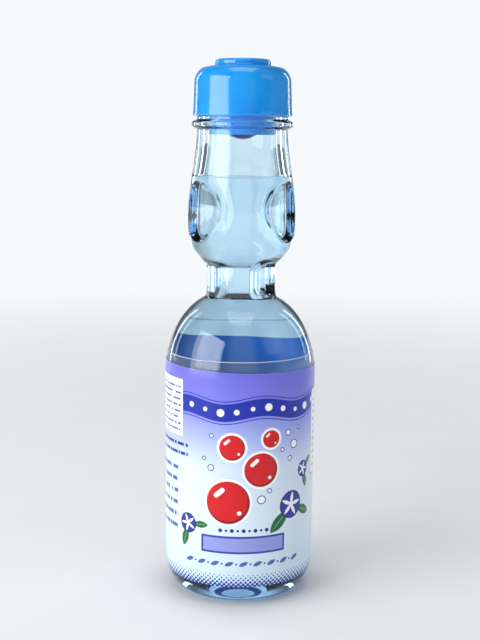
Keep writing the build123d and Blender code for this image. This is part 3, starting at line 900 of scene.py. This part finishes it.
def overRules(colour, u, v, block):
    # lines of dashes inside a box: each line takes its own row of a noise, which breaks it up
    left, right, bottom, top, pitch, ink = block
    line = calc("DIVIDE", minus(v, bottom), pitch)
    across = calc("ABSOLUTE", minus(calc("FRACT", line), 0.5))
    row = times(calc("FLOOR", line), dashes["rowStep"])
    place = addNode(u.id_data, "CombineXYZ", {0: u, 1: row, 2: 0.0}).outputs[0]
    words = noiseValue(place, dashes["wordScale"], 1.0)
    beside = calc("MINIMUM", minus(u, left), minus(right, u))
    inside = calc("MINIMUM", beside, calc("MINIMUM", minus(v, bottom), minus(top, v)))
    lines = rangeOf(across, dashes["thin"], dashes["thick"], 1.0, 0.0)
    gaps = rangeOf(words, dashes["gapBelow"], dashes["gapBelow"] + dashes["gapSoft"])
    mask = times(times(lines, gaps), rangeOf(inside, 0.0, 0.1))
    return blendColour(mask, colour, inks[ink])


def fadeColour(v):
    # the ground fades from a pale foot to a violet top
    height = rangeOf(v, label["fadeFoot"], label["printTop"])
    ramp = addNode(v.id_data, "ValToRGB", {0: height})
    for i, (place, colour) in enumerate(label["fade"]):
        stop = ramp.color_ramp.elements[i] if i < 2 else ramp.color_ramp.elements.new(place)
        stop.position, stop.color = place, colour
    return ramp.outputs[0]


def overRibbon(colour, azimuth, v):
    # a dark ribbon waves round the bottle, between two fine lines
    wave = calc("SINE", times(azimuth, float(label["waves"])))
    middle = calc("MULTIPLY_ADD", wave, label["waveHigh"], label["ribbon"])
    apart, half = calc("ABSOLUTE", minus(v, middle)), label["ribbonHalf"]
    colour = blendColour(rangeOf(apart, half - 0.05, half + 0.05, 1.0, 0.0), colour, inks["band"])
    edging = calc("ABSOLUTE", minus(apart, half + label["edging"]))
    return blendColour(rangeOf(edging, 0.14, 0.22, 1.0, 0.0), colour, inks["band"])


def overMarks(tree, colour, u, v):
    plate, leaf = printMarkGroup("printPlate", False), printMarkGroup("printLeaf", True)
    for centreU, centreV, halfU, halfV, corner, turn, ink in printMarks:
        mark = addNode(tree, "Group", node_tree=leaf if corner is None else plate)
        setSockets(mark, {
            "u": u, "v": v, "centreU": centreU, "centreV": centreV, "halfU": halfU, "halfV": halfV,
            "round": (halfU**2 + halfV**2) / (2 * halfV) if corner is None else corner,
            "cosine": cos(radians(turn)), "sine": sin(radians(turn)),
        })
        colour = blendColour(mark.outputs[0], colour, inks[ink])
    for block in ruleBlocks:
        colour = overRules(colour, u, v, block)
    return colour


def overFootBand(colour, u, v):
    # cos(au) cos(av) peaks on a staggered grid, and is cut off higher and higher up the band
    f = label
    wave = f["bandDots"] / glass["bodyRadius"]
    peaks = times(calc("COSINE", times(u, wave)), calc("COSINE", times(v, wave)))
    over = minus(peaks, rangeOf(v, f["foot"], f["bandTop"], f["bandFull"], f["bandThin"]))
    below = rangeOf(v, f["bandTop"], f["bandTop"] + 0.2, 1.0, 0.0)
    return blendColour(times(rangeOf(over, -0.05, 0.05), below), colour, inks["check"])


def printedFilmFinish():
    f, look, radius = label, label["look"], glass["bodyRadius"]
    material, tree, shader, out = startMaterial("printedFilm")
    point = objectPoint(tree)
    split = addNode(tree, "SeparateXYZ", {0: point}).outputs
    azimuth = calc("ARCTAN2", split["X"], times(split["Y"], -1.0))
    u = calc("MULTIPLY_ADD", azimuth, radius, -radians(f["turn"]) * radius)
    v = times(split["Z"], 1 / mm)
    colour = overRibbon(fadeColour(v), azimuth, v)
    colour = overFootBand(overMarks(tree, colour, u, v), u, v)

    # the film's ends overlap at the back
    beside = calc("ABSOLUTE", minus(u, f["overlap"]))
    colour = blendColour(rangeOf(beside, 0.1, 0.16, 0.4, 0.0), colour, inks["rule"])

    # the film's inner face shows a backing, not the print; its darker, saturated blue is painted shade and
    # painted blue reflection over a face that is really white
    normal = addNode(tree, "NewGeometry").outputs["Normal"]
    facing = addNode(tree, "SeparateXYZ", {0: normal}).outputs
    outward = plus(times(facing["X"], split["X"]), times(facing["Y"], split["Y"]))
    colour = blendColour(calc("LESS_THAN", outward, 0.0), colour, inks["paintedShadeBacking"])

    # above the print, whose edge runs a little aslant, the film is clear up to its own faint edge
    slant = calc("MULTIPLY_ADD", split["X"], -f["topTilt"] / mm, f["printTop"])
    printed = rangeOf(minus(v, slant), -0.08, 0.08, 1.0, 0.0)
    colour = blendColour(printed, inks["film"], colour)
    edgeFoot = shoulderStart + f["topRise"] - f["edgeLine"]
    edge = rangeOf(v, edgeFoot, edgeFoot + 0.05, look["clear"], look["edge"])

    mottle = noiseValue(point, 160.0, 3.0)
    stretch = addNode(tree, "Mapping", {"Vector": point, "Scale": (1.0, 1.0, 0.35)}).outputs[0]
    setSockets(shader, {
        "Base Color": blendColour(rangeOf(mottle, 0.3, 0.8, 0.0, 0.02), colour, inks["mottle"]),
        "Alpha": calc("MAXIMUM", printed, edge),
        "Roughness": rangeOf(mottle, 0.2, 0.8, *look["roughness"]),
        "Specular IOR Level": look["specular"], "Coat Weight": look["coat"], "Coat Roughness": 0.05,
        "Normal": bumpFrom(noiseValue(stretch, 55.0, 2.0), look["bump"], 0.0004),
    })
    return material


def makeCamera():
    c = camera
    data = bpy.data.cameras.new("photoCamera")
    data.lens, data.sensor_width = c["lens"], c["sensor"]
    data.clip_start, data.clip_end = c["clipFrom"], c["clipTo"]
    turn = radians(c["turn"])
    back = Vector((sin(turn), -cos(turn), 0))
    right = Vector((cos(turn), sin(turn), 0))
    place = (back * c["distance"] + right * c["slide"] + Vector((0, 0, c["height"]))) * mm
    level = Matrix((right, Vector((0, 0, 1)), back)).transposed()
    tilt = Matrix.Rotation(radians(c["pitch"]), 3, "X") @ Matrix.Rotation(radians(c["roll"]), 3, "Z")
    piece = addObject("photoCamera", data)
    piece.matrix_world = Matrix.Translation(place) @ (level @ tilt).to_4x4()
    bpy.context.scene.camera = piece


# Studio: a pale floor, a pale surround and five soft boxes
studio = {
    "floorSize": 24.0, "floor": srgb(246, 248, 250), "floorSpeck": srgb(241, 243, 246),
    "floorRoughness": 0.55, "backdrop": srgb(246, 249, 252), "fadeFrom": 0.2, "fadeTo": 0.9, "aim": 0.1,
    "surround": 0.52, "corner": 0.18, "mirrored": 0.3,
    "boxes": [
        # azimuth from the front, elevation, distance, width, height in metres, watts
        ("keyBox", -58, 14, 0.9, 0.8, 0.8, 7.7),
        ("fillBox", 62, 30, 1.2, 0.6, 0.6, 0.6),
        ("leftRimBox", -138, 8, 0.8, 0.08, 0.7, 0.8),
        ("rightRimBox", 138, 8, 0.8, 0.08, 0.7, 0.8),
        ("topBox", 0, 84, 1.0, 0.6, 0.6, 2.0),
    ],
}


def makeFloor():
    size = studio["floorSize"]
    corners = np.array([(-1, -1, 0), (1, -1, 0), (1, 1, 0), (-1, 1, 0)]) * size / 2
    mesh = bpy.data.meshes.new("studioFloor")
    mesh.from_pydata(corners.tolist(), [], [(0, 1, 2, 3)])
    floor = addObject("studioFloor", mesh)
    material, tree, shader, out = startMaterial("paleFloor")
    point = objectPoint(tree)
    speck = noiseValue(point, 25.0, 4.0)
    tint = blendColour(speck, studio["floor"], studio["floorSpeck"])
    setSockets(shader, {"Base Color": tint, "Roughness": studio["floorRoughness"]})
    # far out the floor turns into the pale backdrop
    away = addNode(tree, "VectorMath", {0: point}, operation="LENGTH").outputs["Value"]
    fade = addNode(tree, "MapRange", {0: away, 1: studio["fadeFrom"], 2: studio["fadeTo"]},
                   interpolation_type="SMOOTHSTEP").outputs[0]
    glow = addNode(tree, "Emission", {"Color": studio["backdrop"], "Strength": 1.0}).outputs[0]
    mixed = addNode(tree, "MixShader", {0: fade, 1: shader.outputs[0], 2: glow}).outputs[0]
    setSockets(out, {"Surface": mixed})
    mesh.materials.append(material)


def makeLamps():
    aim = Vector((0, 0, studio["aim"]))
    for name, azimuth, elevation, distance, wide, high, watts in studio["boxes"]:
        lamp = bpy.data.lights.new(name, "AREA")
        lamp.shape, lamp.size, lamp.size_y, lamp.energy = "RECTANGLE", wide, high, watts
        a, e = radians(azimuth + camera["turn"]), radians(elevation)
        way = Vector((sin(a) * cos(e), -cos(a) * cos(e), sin(e)))
        piece = addObject(name, lamp)
        turn = way.to_track_quat("Z", "Y").to_matrix().to_4x4()
        piece.matrix_world = Matrix.Translation(aim + way * distance) @ turn
        piece.visible_camera = False


def makeSurround():
    world = bpy.data.worlds.new("paleStudio")
    bpy.context.scene.world = world
    world.use_nodes = True
    tree = world.node_tree
    tree.nodes.clear()
    around = addNode(tree, "TexCoord").outputs["Generated"]
    way = addNode(tree, "SeparateXYZ", {0: around}).outputs
    # walls ahead, behind and at both sides are bright, and the corners between them are dimmer
    walls = calc("COSINE", times(calc("ARCTAN2", way["X"], way["Y"]), 4.0))
    shade = rangeOf(walls, -0.7, 0.4, studio["corner"], 1.0)
    path = addNode(tree, "LightPath").outputs
    strength = studio["surround"]
    for ray, level in (("Is Glossy Ray", times(shade, studio["mirrored"])),
                       ("Is Transmission Ray", shade), ("Is Camera Ray", 1.0)):
        gain = minus(level, strength)
        strength = calc("MULTIPLY_ADD", path[ray], gain, strength)
    light = addNode(tree, "Background", {"Color": studio["backdrop"], "Strength": strength})
    addNode(tree, "OutputWorld", {"Surface": light.outputs[0]})


makeCamera()
makeFloor()
makeLamps()
makeSurround()
bpy.context.scene.view_settings.view_transform = "Standard"
print("camera and studio ready")

capPlastic = plasticFinish("capPlastic", cap["look"])
mouthPlastic = plasticFinish("mouthPlastic", stopper["plasticLook"])
glassBottle(clearFinish("clearGlass", glass["look"]))
drinkFilling(clearFinish("clearDrink", drink["look"]))
print("glass and drink ready")
glassMarble(clearFinish("marbleGlass", stopper["marbleLook"]))
sealRing(rubberFinish())
mouthMoulding(mouthPlastic)
overCap(capPlastic)
pushPlunger(capPlastic)
print("stopper and cap ready")
labelSleeve(printedFilmFinish())
print("label ready:", len(printMarks), "marks")
